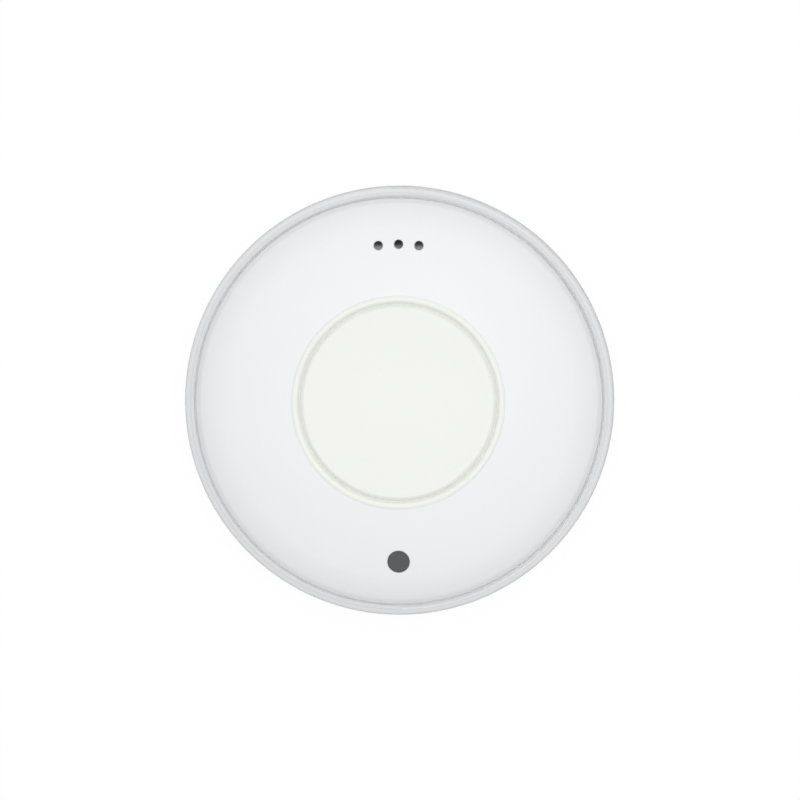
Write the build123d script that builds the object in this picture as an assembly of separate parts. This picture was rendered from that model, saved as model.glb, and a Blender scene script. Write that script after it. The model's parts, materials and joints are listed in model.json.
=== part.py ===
from build123d import *
import os
from math import asin, cos, degrees, hypot, radians, sin, sqrt, tan

# Bluetooth beacon tag: a round battery-powered puck that lies on its back.
# Millimetres. The origin is the centre of the flat back face, +Z points out of
# the front and +Y towards the three vent holes.

# Outer form, seen from the front. Its radius follows from the coin cell inside.
seam_gap = 0.08
seam_fit_gap = 0.04
seam_depth = 0.2
rim_width = 0.803
rim_edge_round = 0.2
rim_slope = 36.0
rim_above_board = 1.85
dome_radius = 42.0
dome_shoulder_radius = 8.0
dome_shoulder_width = 2.0
cover_edge_drop = 0.28
cover_edge_round = 0.2
cover_wall = 1.2
cover_side_wall = 0.88
cover_inner_round = 0.5

# Rear housing
housing_wall = 1.5
base_round = 1.9
base_inset = 0.45
widest_height = 5.4
widest_round = 12.0
rim_inset = 0.05
rim_round = 0.5
shoulder_thickness = 0.6
neck_wall = 0.9
back_dimple_radius = 0.3
back_dimple_depth = 0.15

# Height stack, from the back face to the board
door_thickness = 1.0
door_lift = 0.05
cell_height = 3.2
contact_room = 0.85
board_thickness = 0.8
carrier_flange_thickness = 0.5
seal_thickness = 0.4
seal_gap = 0.02

# Button and the ring round it
bezel_radius = 8.19
bezel_width = 0.44
bezel_proud = 0.12
bezel_hole_gap = 0.01
bezel_edge_round = 0.2
bezel_lip_thickness = 0.35
bezel_body_width = 0.75
bezel_flange_width = 1.35
bezel_flange_thickness = 0.45
bezel_seat_depth = 0.06
web_width = 0.35
web_drop = 0.05
web_thickness = 0.15
web_bond_gap = 0.005
cap_edge_round = 0.25
cap_proud = 0.17
cap_depth = 1.9
cap_top_thickness = 1.0
cap_side_wall = 0.95
cap_post_radius = 1.4
cap_rib_width = 0.7
cap_rib_depth = 0.8
press_travel = 0.3
press_gap = 0.03

# Vent holes and the light window, both set out inwards from the board's edge
vent_edge_distance = 2.203
vent_pitch_angle = 7.4
vent_count = 3
vent_radius = 0.35
pad_above_board = 1.05
vent_pad_length = 6.2
vent_pad_width = 3.4
membrane_length = 5.4
membrane_width = 2.6
membrane_thickness = 0.2
gasket_wall = 0.7
window_edge_distance = 2.043
window_radius = 0.82
window_gap = 0.03
window_flange_reach = 0.45
window_flange_thickness = 0.25
window_pad_radius = 1.85
mouth_chamfer = 0.05

# Battery cover and its bayonet
skirt_gap = 0.25
skirt_wall = 0.7
lip_gap = 0.1
lip_height = 1.25
lug_count = 3
lug_angle = 26.0
lug_reach = 0.55
lug_height = 0.7
lug_gap = 0.1
lug_side_gap = 0.15
lug_gap_angle = 32.0
unlock_angle = 40.0
stop_angle = 4.0
stop_play_angle = 1.5
skirt_above_lugs = 0.1
door_gap = 0.15
door_edge_round = 0.2
o_ring_section = 0.6
o_ring_groove_gap = 0.1
o_ring_land = 0.35
coin_slot_length = 13.0
coin_slot_width = 1.8
coin_slot_depth = 0.55

# Coin cell
cell_radius = 10.0
can_sheet = 0.25
crimp_depth = 0.3
can_corner_round = 0.22
crimp_reach = 0.8
cell_cap_sheet = 0.25
cell_cap_round = 0.2
cell_cap_lift = 0.75
grommet_gap = 0.02
pellet_gap = 0.05

# Battery carrier and the two contacts
carrier_gap = 0.2
carrier_neck_gap = 0.1
carrier_skirt_gap = 0.2
contact_sheet = 0.15
contact_width = 2.4
contact_slot_gap = 0.2
contact_touch_gap = 0.01
positive_contact_angle = 180.0
positive_foot_length = 1.9
negative_foot_length = 2.6
negative_reach = 4.2

# Main board, its screws and the cover's snap tabs
board_edge_gap = 0.1
screw_angles = (0.0, 120.0, 240.0)
screw_neck_distance = 0.363
screw_edge_distance = 1.4
screw_radius = 0.65
screw_length = 4.0
screw_head_radius = 1.15
screw_head_height = 0.6
screw_cross_width = 0.32
screw_cross_length = 1.6
screw_cross_depth = 0.3
screw_hole_gap = 0.15
screw_core_gap = 0.03
boss_radius = 1.35
snap_angles = (60.0, 180.0, 300.0)
snap_thickness = 0.55
snap_width_angle = 16.0
snap_wall_gap = 0.05
snap_below_seal = 1.7
snap_barb_reach = 0.4
snap_barb_height = 0.65
snap_barb_foot = 0.2
snap_pocket_gap = 0.08

# Push switch under the button
switch_side = 5.2
switch_corner = 0.35
switch_base_height = 1.2
switch_floor = 0.4
switch_cavity_radius = 2.1
switch_sheet = 0.15
switch_clip_width = 1.6
switch_clip_foot = 0.25
plunger_radius = 0.95
plunger_gap = 0.1
plunger_rise = 0.5
plunger_flange_radius = 1.5
plunger_top_play = 0.05
snap_dome_radius = 1.9
snap_dome_pressed_height = 0.12
snap_dome_sheet = 0.08
snap_dome_play = 0.03
terminal_length = 0.8
terminal_width = 0.6
terminal_thickness = 0.2
terminal_spacing = 3.7

# Packages on the board
radio_chip_side = 4.0
radio_chip_height = 0.8
antenna_length = 3.2
antenna_width = 1.6
antenna_height = 0.9
main_crystal_length = 2.0
main_crystal_width = 1.6
main_crystal_height = 0.5
clock_crystal_length = 3.2
clock_crystal_width = 1.5
clock_crystal_height = 0.75
humidity_sensor_side = 2.0
humidity_sensor_height = 0.75
motion_sensor_side = 2.0
motion_sensor_height = 0.9
status_led_length = 1.6
status_led_width = 0.8
status_led_height = 0.6
reserve_capacitor_length = 3.5
reserve_capacitor_width = 2.8
reserve_capacitor_height = 1.2
capacitor_length = 1.0
capacitor_width = 0.5
capacitor_height = 0.5
resistor_length = 1.0
resistor_width = 0.5
resistor_height = 0.35
inductor_length = 1.6
inductor_width = 0.8
inductor_height = 0.8
package_chamfer = 0.05
pin_mark_radius = 0.2
pin_mark_depth = 0.05
pin_mark_inset = 0.5
sensor_port_radius = 0.4
sensor_port_depth = 0.1
test_pad_radius = 0.45
test_pad_thickness = 0.04

# Where those packages sit: inwards from the board's edge, and round from +X
radio_chip_edge_distance = 3.4
radio_chip_angle = 40.0
antenna_edge_distance = 1.9
antenna_angle = 180.0
main_crystal_edge_distance = 2.2
main_crystal_angle = 62.0
clock_crystal_edge_distance = 2.8
clock_crystal_angle = 143.0
motion_sensor_edge_distance = 2.4
motion_sensor_angle = 212.0
reserve_capacitor_edge_distance = 3.6
reserve_capacitor_angle = 318.0
passive_edge_distance = 4.9
capacitor_first_angle = 62.0
capacitor_count = 8
resistor_first_angle = 214.0
resistor_count = 6
passive_pitch_angle = 8.0
inductor_edge_distance = 2.8
inductor_angles = (333.0, 344.0)
test_pad_edge_distance = 1.4
test_pad_first_angle = 284.0
test_pad_pitch_angle = 6.0
test_pad_count = 5

# Heights that follow from the stack
shoulder_low = door_thickness + door_lift
cell_low = door_thickness + door_lift
cell_high = cell_low + cell_height
board_low = cell_high + contact_room
board_high = board_low + board_thickness
neck_high = board_low - carrier_flange_thickness
ledge_height = neck_high
cover_low = ledge_height + seal_thickness
rim_high = board_high + rim_above_board
pad_height = board_high + pad_above_board

# Radii that follow from the cell, from the inside outwards
skirt_inner_radius = cell_radius + skirt_gap
skirt_outer_radius = skirt_inner_radius + skirt_wall
lip_inner_radius = skirt_outer_radius + lip_gap
lug_outer_radius = skirt_outer_radius + lug_reach
neck_inner_radius = lug_outer_radius + lug_side_gap
neck_outer_radius = neck_inner_radius + neck_wall
groove_inner_radius = neck_inner_radius + o_ring_groove_gap
groove_outer_radius = groove_inner_radius + o_ring_section
door_radius = groove_outer_radius + o_ring_land
carrier_inner_radius = cell_radius + carrier_gap
carrier_outer_radius = neck_inner_radius - carrier_neck_gap
screw_circle = neck_outer_radius + screw_neck_distance
board_radius = screw_circle + screw_edge_distance
snap_inner_radius = board_radius + board_edge_gap
snap_outer_radius = snap_inner_radius + snap_thickness
wall_inner_radius = snap_outer_radius + snap_wall_gap
body_radius = wall_inner_radius + housing_wall
rim_inner_radius = body_radius - rim_width
cover_radius = rim_inner_radius - seam_gap
cover_inner_radius = cover_radius - cover_side_wall
vent_circle = board_radius - vent_edge_distance
window_circle = board_radius - window_edge_distance

# The bayonet's levels
lip_high = shoulder_low + lip_height
lug_low = lip_high + lug_gap
lug_high = lug_low + lug_height
skirt_high = lug_high + skirt_above_lugs
carrier_low = skirt_high + carrier_skirt_gap

# The dome's edge lies inside the rim. From the edge inwards it is a tight shoulder
# at first, and then a broad sphere that runs on from it without a kink.
cover_edge_height = rim_high - cover_edge_drop
seam_floor = cover_edge_height - seam_depth
dome_lean = asin((cover_radius - dome_shoulder_width) / dome_radius)
shoulder_middle = cover_radius - dome_shoulder_width - dome_shoulder_radius * sin(dome_lean)
shoulder_reach = cover_radius - shoulder_middle
shoulder_level = cover_edge_height - sqrt(dome_shoulder_radius ** 2 - shoulder_reach ** 2)
dome_level = shoulder_level - (dome_radius - dome_shoulder_radius) * cos(dome_lean)
crown_height = dome_level + dome_radius


def dome_height(radius, depth=0.0):
    """Height of the cover's dome at a radius, or of a surface that far inside it."""
    if radius < (dome_radius - depth) * sin(dome_lean):
        return dome_level + sqrt((dome_radius - depth) ** 2 - radius ** 2)
    return shoulder_level + sqrt((dome_shoulder_radius - depth) ** 2 - (radius - shoulder_middle) ** 2)


# The button's levels, from the dome down to the switch
bezel_inner_radius = bezel_radius - bezel_width
bezel_body_radius = bezel_inner_radius + bezel_body_width
bezel_flange_radius = bezel_inner_radius + bezel_flange_width
bezel_seat_radius = bezel_flange_radius + 2 * bezel_seat_depth
bezel_lip_height = dome_height(bezel_radius) - bezel_lip_thickness
bezel_seat = dome_height(bezel_seat_radius, cover_wall) - bezel_seat_depth
bezel_low = bezel_seat - bezel_flange_thickness
bezel_high = dome_height(bezel_radius) + bezel_proud
cap_radius = bezel_inner_radius - web_width
cap_high = dome_height(bezel_radius) + cap_proud
cap_low = cap_high - cap_depth
cap_inner_radius = cap_radius - cap_side_wall
web_outer_high = bezel_high - bezel_edge_round
web_inner_high = web_outer_high - web_drop
switch_top = board_high + switch_base_height
frame_top = switch_top + switch_sheet
plunger_high = frame_top + plunger_rise
cavity_floor = board_high + switch_floor
snap_dome_height = press_travel + snap_dome_pressed_height
snap_dome_top = cavity_floor + snap_dome_height


def disc(radius, low, high):
    """An upright cylinder on the centre line."""
    return Pos(0, 0, low) * extrude(Circle(radius), high - low)


def ring(outer, inner, low, high):
    """A round ring on the centre line."""
    return Pos(0, 0, low) * extrude(Circle(outer) - Circle(inner), high - low)


def block(length, width, low, high):
    """An upright box on the centre line."""
    return Pos(0, 0, low) * extrude(Rectangle(length, width), high - low)


def oblong(length, width, low, high):
    """A flat bar with round ends on the centre line."""
    return Pos(0, 0, low) * extrude(SlotOverall(length, width), high - low)


def ring_sector(outer, inner, low, high, middle, width):
    """A stretch of a ring about a middle angle, as wide as an angle."""
    start = middle - width / 2
    outside = CenterArc((0, 0), outer, start, width)
    inside = CenterArc((0, 0), inner, start, width)
    sides = [Line(inside @ 0, outside @ 0), Line(inside @ 1, outside @ 1)]
    face = make_face([outside, inside, *sides])
    return Pos(0, 0, low) * extrude(face, high - low)


def at_angle(radius, angle):
    """A place that far from the centre, turned to face outwards."""
    return Rot(0, 0, angle) * Pos(radius, 0, 0)


def outline(*corners):
    """A closed outline of radius and height corners."""
    return make_face(Polyline(*corners, close=True))


def rounded(face, radius, *corners):
    """The outline with the named corners rounded."""
    for corner in corners:
        nearest = face.vertices().sort_by_distance((corner[0], corner[1], 0))[0]
        face = fillet(nearest, radius)
    return face


def turned(face):
    """The solid that an outline of radius and height sweeps about the centre line."""
    return revolve(Plane.XZ * face, Axis.Z)


def dome_solid(radius, depth, low, edge_round):
    """A domed plug: the space under the dome, or under a surface inside it."""
    edge_height = dome_height(radius, depth)
    bend = dome_shoulder_radius - depth
    lean = degrees(dome_lean)
    edge_lean = degrees(asin((radius - shoulder_middle) / bend))
    dome = CenterArc((0, dome_level), dome_radius - depth, 90 - lean, lean)
    shoulder = CenterArc((shoulder_middle, shoulder_level), bend, 90 - edge_lean, edge_lean - lean)
    sides = Polyline(dome @ 1, (0, low), (radius, low), (radius, edge_height))
    face = make_face([dome, shoulder, *sides.edges()])
    return turned(rounded(face, edge_round, (radius, edge_height)))


def mouth_edge(cover, place):
    """The edge where an upright hole at that place comes out of the dome."""
    height = dome_height(hypot(place.X, place.Y))
    return cover.edges().sort_by_distance((place.X, place.Y, height))[0]


def snap_tab(angle):
    """One spring tab on the cover's wall, with the barb that holds in the housing."""
    low = cover_low - seal_thickness - snap_below_seal
    barb_low = low + snap_barb_foot
    tab = ring_sector(snap_outer_radius, snap_inner_radius, low, board_high, angle, snap_width_angle)
    return tab + ring_sector(
        snap_outer_radius + snap_barb_reach,
        snap_inner_radius,
        barb_low,
        barb_low + snap_barb_height,
        angle,
        snap_width_angle,
    )


def vent_angles():
    """The angles of the vent holes, centred on +Y."""
    first = 90 - vent_pitch_angle * (vent_count - 1) / 2
    return [first + vent_pitch_angle * index for index in range(vent_count)]


def top_cover():
    shell = dome_solid(cover_radius, 0, cover_low, cover_edge_round)
    hollow = dome_solid(cover_inner_radius, cover_wall, cover_low, cover_inner_round)
    pads = disc(bezel_seat_radius + cover_wall / 2, bezel_seat, crown_height)
    pads += Pos(0, vent_circle, 0) * oblong(vent_pad_length, vent_pad_width, pad_height, crown_height)
    pads += Pos(0, -window_circle, 0) * disc(window_pad_radius, pad_height, crown_height)
    cover = shell - hollow + (shell & pads)
    for angle in snap_angles:
        cover += snap_tab(angle)
    cover -= disc(bezel_radius + bezel_hole_gap, 0, crown_height)
    cover -= disc(bezel_body_radius + bezel_hole_gap, 0, bezel_lip_height)
    for angle in vent_angles():
        cover -= at_angle(vent_circle, angle) * disc(vent_radius, 0, crown_height)
    cover -= Pos(0, -window_circle, 0) * disc(window_radius + window_gap, 0, crown_height)
    mouths = [at_angle(vent_circle, angle).position for angle in vent_angles()]
    mouths.append(Vector(0, -window_circle, 0))
    return chamfer([mouth_edge(cover, place) for place in mouths], mouth_chamfer)


def housing_form():
    """The housing's outer form, solid through up to the floor of the seam."""
    base_corner = (body_radius - base_inset, 0)
    widest_corner = (body_radius, widest_height)
    rim_corner_radius = body_radius - rim_inset
    rim_fall = (rim_corner_radius - rim_inner_radius) * tan(radians(rim_slope))
    rim_corner = (rim_corner_radius, rim_high - rim_fall)
    rim_edge = (rim_inner_radius, rim_high)
    floor_corner = (rim_inner_radius, seam_floor)
    face = outline((0, 0), base_corner, widest_corner, rim_corner, rim_edge, floor_corner, (0, seam_floor))
    face = rounded(face, base_round, base_corner)
    face = rounded(face, widest_round, widest_corner)
    face = rounded(face, rim_edge_round, rim_edge)
    return turned(rounded(face, rim_round, rim_corner))


def bayonet_gap_angle(index):
    """The middle of the gap that a lug comes out of once the cover is unlocked."""
    return 360 / lug_count * index - unlock_angle


def bayonet_stops():
    """The ribs over the lips that end the battery cover's turn both ways."""
    stops = []
    half_lug = lug_angle / 2
    beyond = half_lug + stop_play_angle + stop_angle / 2
    for index in range(lug_count):
        locked = 360 / lug_count * index
        for angle in (locked + beyond, locked - unlock_angle - beyond):
            stops.append(
                ring_sector(
                    neck_inner_radius + neck_wall / 2,
                    lip_inner_radius,
                    lip_high,
                    lug_high,
                    angle,
                    stop_angle,
                )
            )
    return stops


def rear_housing():
    floor_high = shoulder_low + shoulder_thickness
    housing = housing_form()
    housing -= disc(cover_radius + seam_fit_gap, ledge_height, seam_floor)
    housing -= ring(wall_inner_radius, neck_outer_radius, floor_high, ledge_height)
    for angle in screw_angles:
        housing += at_angle(screw_circle, angle) * disc(boss_radius, shoulder_low, neck_high)
    housing -= disc(neck_inner_radius, 0, seam_floor)
    housing -= disc(door_radius + door_gap, 0, shoulder_low)
    lip = ring(neck_inner_radius + neck_wall / 2, lip_inner_radius, shoulder_low, lip_high)
    for index in range(lug_count):
        gap = ring_sector(
            neck_inner_radius,
            lip_inner_radius - lip_gap,
            shoulder_low,
            lip_high,
            bayonet_gap_angle(index),
            lug_gap_angle,
        )
        lip -= gap
    housing += lip
    for stop in bayonet_stops():
        housing += stop
    core_low = neck_high - (screw_length - board_thickness - carrier_flange_thickness)
    for angle in screw_angles:
        core = disc(screw_radius + screw_core_gap, core_low - screw_core_gap, neck_high)
        housing -= at_angle(screw_circle, angle) * core
    barb_low = ledge_height - snap_below_seal + snap_barb_foot
    for angle in snap_angles:
        pocket = ring_sector(
            wall_inner_radius + snap_barb_reach,
            neck_outer_radius + neck_wall,
            barb_low - snap_pocket_gap,
            barb_low + snap_barb_height + snap_pocket_gap,
            angle,
            snap_width_angle + 2 * degrees(snap_pocket_gap / wall_inner_radius),
        )
        housing -= pocket
    mark_circle = (door_radius + door_gap + body_radius - base_inset - base_round) / 2
    for angle in (90, 90 - unlock_angle):
        housing -= at_angle(mark_circle, angle) * disc(back_dimple_radius, 0, back_dimple_depth)
    return housing


def housing_seal():
    return ring(cover_radius, wall_inner_radius + seal_gap, ledge_height, cover_low)


def button_bezel():
    face = outline(
        (bezel_inner_radius, bezel_low),
        (bezel_flange_radius, bezel_low),
        (bezel_flange_radius, bezel_seat),
        (bezel_body_radius, bezel_seat),
        (bezel_body_radius, bezel_lip_height),
        (bezel_radius, bezel_lip_height),
        (bezel_radius, bezel_high),
        (bezel_inner_radius, bezel_high),
    )
    corners = ((bezel_radius, bezel_high), (bezel_inner_radius, bezel_high))
    return turned(rounded(face, bezel_edge_round, *corners))


def button_web():
    """The thin slanted skin that joins the cap to the ring and flexes as the cap goes down."""
    inner = cap_radius + web_bond_gap
    outer = bezel_inner_radius - web_bond_gap
    face = outline(
        (inner, web_inner_high - web_thickness),
        (outer, web_outer_high - web_thickness),
        (outer, web_outer_high),
        (inner, web_inner_high),
    )
    return turned(face)


def button_cap():
    roof = cap_high - cap_top_thickness
    face = outline(
        (0, roof),
        (cap_inner_radius, roof),
        (cap_inner_radius, cap_low),
        (cap_radius, cap_low),
        (cap_radius, cap_high),
        (0, cap_high),
    )
    cap = turned(rounded(face, cap_edge_round, (cap_radius, cap_high)))
    cap += disc(cap_post_radius, plunger_high + press_gap, roof)
    for angle in (0, 90):
        cap += Rot(0, 0, angle) * block(2 * cap_inner_radius, cap_rib_width, roof - cap_rib_depth, roof)
    return cap


def status_window():
    pipe = disc(window_radius, pad_height - window_flange_thickness, crown_height)
    flange = disc(window_radius + window_flange_reach, pad_height - window_flange_thickness, pad_height)
    place = Pos(0, -window_circle, 0)
    under_dome = dome_solid(cover_radius, 0, board_low, cover_edge_round)
    return (place * (pipe + flange)) & under_dome


def vent_membrane():
    sheet = oblong(membrane_length, membrane_width, pad_height - membrane_thickness, pad_height)
    return Pos(0, vent_circle, 0) * sheet


def sensor_gasket():
    high = pad_height - membrane_thickness
    outside = oblong(membrane_length, vent_pad_width, board_high, high)
    inside = oblong(membrane_length - 2 * gasket_wall, vent_pad_width - 2 * gasket_wall, board_high, high)
    return Pos(0, vent_circle, 0) * (outside - inside)


def battery_cover():
    face = outline((0, 0), (door_radius, 0), (door_radius, door_thickness), (0, door_thickness))
    door = turned(rounded(face, door_edge_round, (door_radius, 0)))
    door += ring(skirt_outer_radius, skirt_inner_radius, door_thickness / 2, skirt_high)
    for index in range(lug_count):
        door += ring_sector(
            lug_outer_radius,
            skirt_outer_radius - skirt_wall / 2,
            lug_low,
            lug_high,
            360 / lug_count * index,
            lug_angle,
        )
    groove = ring(groove_outer_radius, groove_inner_radius, door_thickness - o_ring_section, door_thickness)
    slot = oblong(coin_slot_length, coin_slot_width, 0, coin_slot_depth)
    dimple_circle = (coin_slot_length / 2 + door_radius) / 2
    dimple = at_angle(dimple_circle, 90) * disc(back_dimple_radius, 0, back_dimple_depth)
    return door - groove - slot - dimple


def battery_cover_o_ring():
    middle = (groove_inner_radius + groove_outer_radius) / 2
    height = door_thickness - o_ring_section / 2
    return Pos(0, 0, height) * Torus(middle, o_ring_section / 2)


def coin_cell_can():
    crimp_high = cell_high - crimp_depth
    crimp_low = crimp_high - can_sheet
    face = outline(
        (0, cell_low),
        (cell_radius, cell_low),
        (cell_radius, crimp_high),
        (cell_radius - crimp_reach, crimp_high),
        (cell_radius - crimp_reach, crimp_low),
        (cell_radius - can_sheet, crimp_low),
        (cell_radius - can_sheet, cell_low + can_sheet),
        (0, cell_low + can_sheet),
    )
    corners = ((cell_radius, cell_low), (cell_radius, crimp_high))
    return turned(rounded(face, can_corner_round, *corners))


def coin_cell_cap():
    outer = cell_radius - crimp_reach - cell_cap_sheet
    inner = outer - cell_cap_sheet
    foot = cell_low + cell_cap_lift
    face = outline(
        (0, cell_high - cell_cap_sheet),
        (inner, cell_high - cell_cap_sheet),
        (inner, foot),
        (outer, foot),
        (outer, cell_high),
        (0, cell_high),
    )
    return turned(rounded(face, cell_cap_round, (outer, cell_high)))


def coin_cell_gasket():
    low = cell_low + can_sheet + grommet_gap
    middle = cell_high - crimp_depth - can_sheet - grommet_gap
    high = cell_high - crimp_depth
    inner = cell_radius - crimp_reach - cell_cap_sheet + grommet_gap
    return ring(cell_radius - can_sheet - grommet_gap, inner, low, middle) + ring(
        cell_radius - crimp_reach - grommet_gap, inner, low, high
    )


def coin_cell_pellet():
    radius = cell_radius - crimp_reach - 2 * cell_cap_sheet - pellet_gap
    return disc(radius, cell_low + can_sheet + pellet_gap, cell_high - cell_cap_sheet - pellet_gap)


def contact_slot():
    """The opening in the carrier that the positive contact comes down through."""
    width = contact_width + 2 * contact_slot_gap
    middle = (cell_radius + neck_outer_radius) / 2 + contact_slot_gap
    reach = neck_outer_radius - cell_radius + 2 * contact_slot_gap
    return at_angle(middle, positive_contact_angle) * block(reach, width, 0, board_low)


def battery_carrier():
    carrier = ring(carrier_outer_radius, carrier_inner_radius, carrier_low, neck_high)
    carrier += ring(neck_outer_radius, carrier_inner_radius, neck_high, board_low)
    for angle in screw_angles:
        carrier += at_angle(screw_circle, angle) * disc(boss_radius, neck_high, board_low)
    for angle in screw_angles:
        hole = disc(screw_radius + screw_hole_gap, neck_high, board_low)
        carrier -= at_angle(screw_circle, angle) * hole
    return carrier - contact_slot()


def bent_strip(points, bend_radius, width):
    """A sheet-metal strip along points of radius and height."""
    path = FilletPolyline(*points, radius=bend_radius)
    face = trace(path, contact_sheet)
    return extrude(Plane.XZ * face, width / 2, both=True)


def positive_contact():
    foot_height = board_low - contact_sheet / 2
    touch = cell_radius + contact_sheet / 2 + contact_touch_gap
    touch_height = carrier_low + 2 * contact_sheet
    points = (
        (touch + positive_foot_length, foot_height),
        (touch + 2 * contact_sheet, foot_height),
        (touch, touch_height),
        (touch + 2 * contact_sheet, touch_height - 2 * contact_sheet),
    )
    strip = bent_strip(points, contact_sheet, contact_width)
    return Rot(0, 0, positive_contact_angle) * strip


def negative_contact():
    foot_height = board_low - contact_sheet / 2
    touch_height = cell_high + contact_sheet / 2 + contact_touch_gap
    points = (
        (-negative_reach, foot_height),
        (-negative_reach + negative_foot_length, foot_height),
        (negative_reach - 2 * contact_sheet, touch_height),
        (negative_reach + 2 * contact_sheet, touch_height + 2 * contact_sheet),
    )
    return bent_strip(points, 2 * contact_sheet, contact_width)


def main_board():
    board = disc(board_radius, board_low, board_high)
    for angle in screw_angles:
        hole = disc(screw_radius + screw_hole_gap, board_low, board_high)
        board -= at_angle(screw_circle, angle) * hole
    return board


def board_screw():
    head_high = board_high + screw_head_height
    screw = disc(screw_radius, board_high - screw_length, board_high)
    screw += disc(screw_head_radius, board_high, head_high)
    for angle in (0, 90):
        cut = block(screw_cross_length, screw_cross_width, head_high - screw_cross_depth, head_high)
        screw -= Rot(0, 0, angle) * cut
    return screw


def board_screws():
    return Compound([at_angle(screw_circle, angle) * board_screw() for angle in screw_angles])


def switch_base():
    outside = chamfer(Rectangle(switch_side, switch_side).vertices(), switch_corner)
    base = Pos(0, 0, board_high) * extrude(outside, switch_base_height)
    return base - disc(switch_cavity_radius, cavity_floor, switch_top)


def switch_frame():
    plate = chamfer(Rectangle(switch_side, switch_side).vertices(), switch_corner)
    frame = Pos(0, 0, switch_top) * extrude(plate, switch_sheet)
    frame -= disc(plunger_radius + plunger_gap, switch_top, frame_top)
    clip = block(switch_sheet, switch_clip_width, board_high + switch_clip_foot, frame_top)
    for side in (-1, 1):
        frame += Pos(0, side * (switch_side + switch_sheet) / 2, 0) * Rot(0, 0, 90) * clip
    return frame


def switch_plunger():
    flange_low = snap_dome_top + snap_dome_play
    flange_high = switch_top - plunger_top_play
    flange = disc(plunger_flange_radius, flange_low, flange_high)
    return flange + disc(plunger_radius, flange_low, plunger_high)


def switch_snap_dome():
    """A domed disc of spring steel that clicks flat when it is pressed."""
    sphere = (snap_dome_radius ** 2 + snap_dome_height ** 2) / (2 * snap_dome_height)
    half_angle = degrees(asin(snap_dome_radius / sphere))
    centre = (0, snap_dome_top - sphere)
    outside = CenterArc(centre, sphere, 90 - half_angle, half_angle)
    inside = CenterArc(centre, sphere - snap_dome_sheet, 90 - half_angle, half_angle)
    sides = [Line(inside @ 0, outside @ 0), Line(inside @ 1, outside @ 1)]
    shell = turned(make_face([outside, inside, *sides]))
    return shell & disc(switch_cavity_radius, cavity_floor, snap_dome_top)


def switch_terminals():
    leads = []
    reach = switch_side / 2 + terminal_length / 2
    for side in (-1, 1):
        for row in (-1, 1):
            lead = block(terminal_length, terminal_width, board_high, board_high + terminal_thickness)
            leads.append(Pos(side * reach, row * terminal_spacing / 2, 0) * lead)
    return Compound(leads)


def package(length, width, height):
    """A chip package standing on the board, its top edges eased."""
    body = block(length, width, board_high, board_high + height)
    top = body.faces().sort_by(Axis.Z)[-1]
    return chamfer(top.edges(), package_chamfer)


def marked_package(side, height):
    """A square chip package with the round dimple that marks its first pin."""
    top = board_high + height
    dimple = disc(pin_mark_radius, top - pin_mark_depth, top)
    corner = Pos(pin_mark_inset - side / 2, side / 2 - pin_mark_inset, 0)
    return package(side, side, height) - corner * dimple


def on_board(edge_distance, angle, solid):
    """A solid set that far in from the board's edge, with its length along the edge."""
    return at_angle(board_radius - edge_distance, angle) * Rot(0, 0, 90) * solid


def radio_chip():
    body = marked_package(radio_chip_side, radio_chip_height)
    return on_board(radio_chip_edge_distance, radio_chip_angle, body)


def chip_antenna():
    body = package(antenna_length, antenna_width, antenna_height)
    return on_board(antenna_edge_distance, antenna_angle, body)


def main_crystal():
    body = package(main_crystal_length, main_crystal_width, main_crystal_height)
    return on_board(main_crystal_edge_distance, main_crystal_angle, body)


def clock_crystal():
    body = package(clock_crystal_length, clock_crystal_width, clock_crystal_height)
    return on_board(clock_crystal_edge_distance, clock_crystal_angle, body)


def motion_sensor():
    body = marked_package(motion_sensor_side, motion_sensor_height)
    return on_board(motion_sensor_edge_distance, motion_sensor_angle, body)


def humidity_sensor():
    top = board_high + humidity_sensor_height
    port = disc(sensor_port_radius, top - sensor_port_depth, top)
    body = package(humidity_sensor_side, humidity_sensor_side, humidity_sensor_height)
    return Pos(0, vent_circle, 0) * (body - port)


def status_led():
    body = package(status_led_length, status_led_width, status_led_height)
    return Pos(0, -window_circle, 0) * body


def reserve_capacitor():
    body = package(reserve_capacitor_length, reserve_capacitor_width, reserve_capacitor_height)
    return on_board(reserve_capacitor_edge_distance, reserve_capacitor_angle, body)


def stepped_angles(first, pitch, count):
    return [first + pitch * index for index in range(count)]


def chip_capacitors():
    body = package(capacitor_length, capacitor_width, capacitor_height)
    angles = stepped_angles(capacitor_first_angle, passive_pitch_angle, capacitor_count)
    return Compound([on_board(passive_edge_distance, angle, body) for angle in angles])


def chip_resistors():
    body = package(resistor_length, resistor_width, resistor_height)
    angles = stepped_angles(resistor_first_angle, passive_pitch_angle, resistor_count)
    return Compound([on_board(passive_edge_distance, angle, body) for angle in angles])


def chip_inductors():
    body = package(inductor_length, inductor_width, inductor_height)
    return Compound([on_board(inductor_edge_distance, angle, body) for angle in inductor_angles])


def test_pads():
    angles = stepped_angles(test_pad_first_angle, test_pad_pitch_angle, test_pad_count)
    pad = disc(test_pad_radius, board_high, board_high + test_pad_thickness)
    return Compound([on_board(test_pad_edge_distance, angle, pad) for angle in angles])


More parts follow.
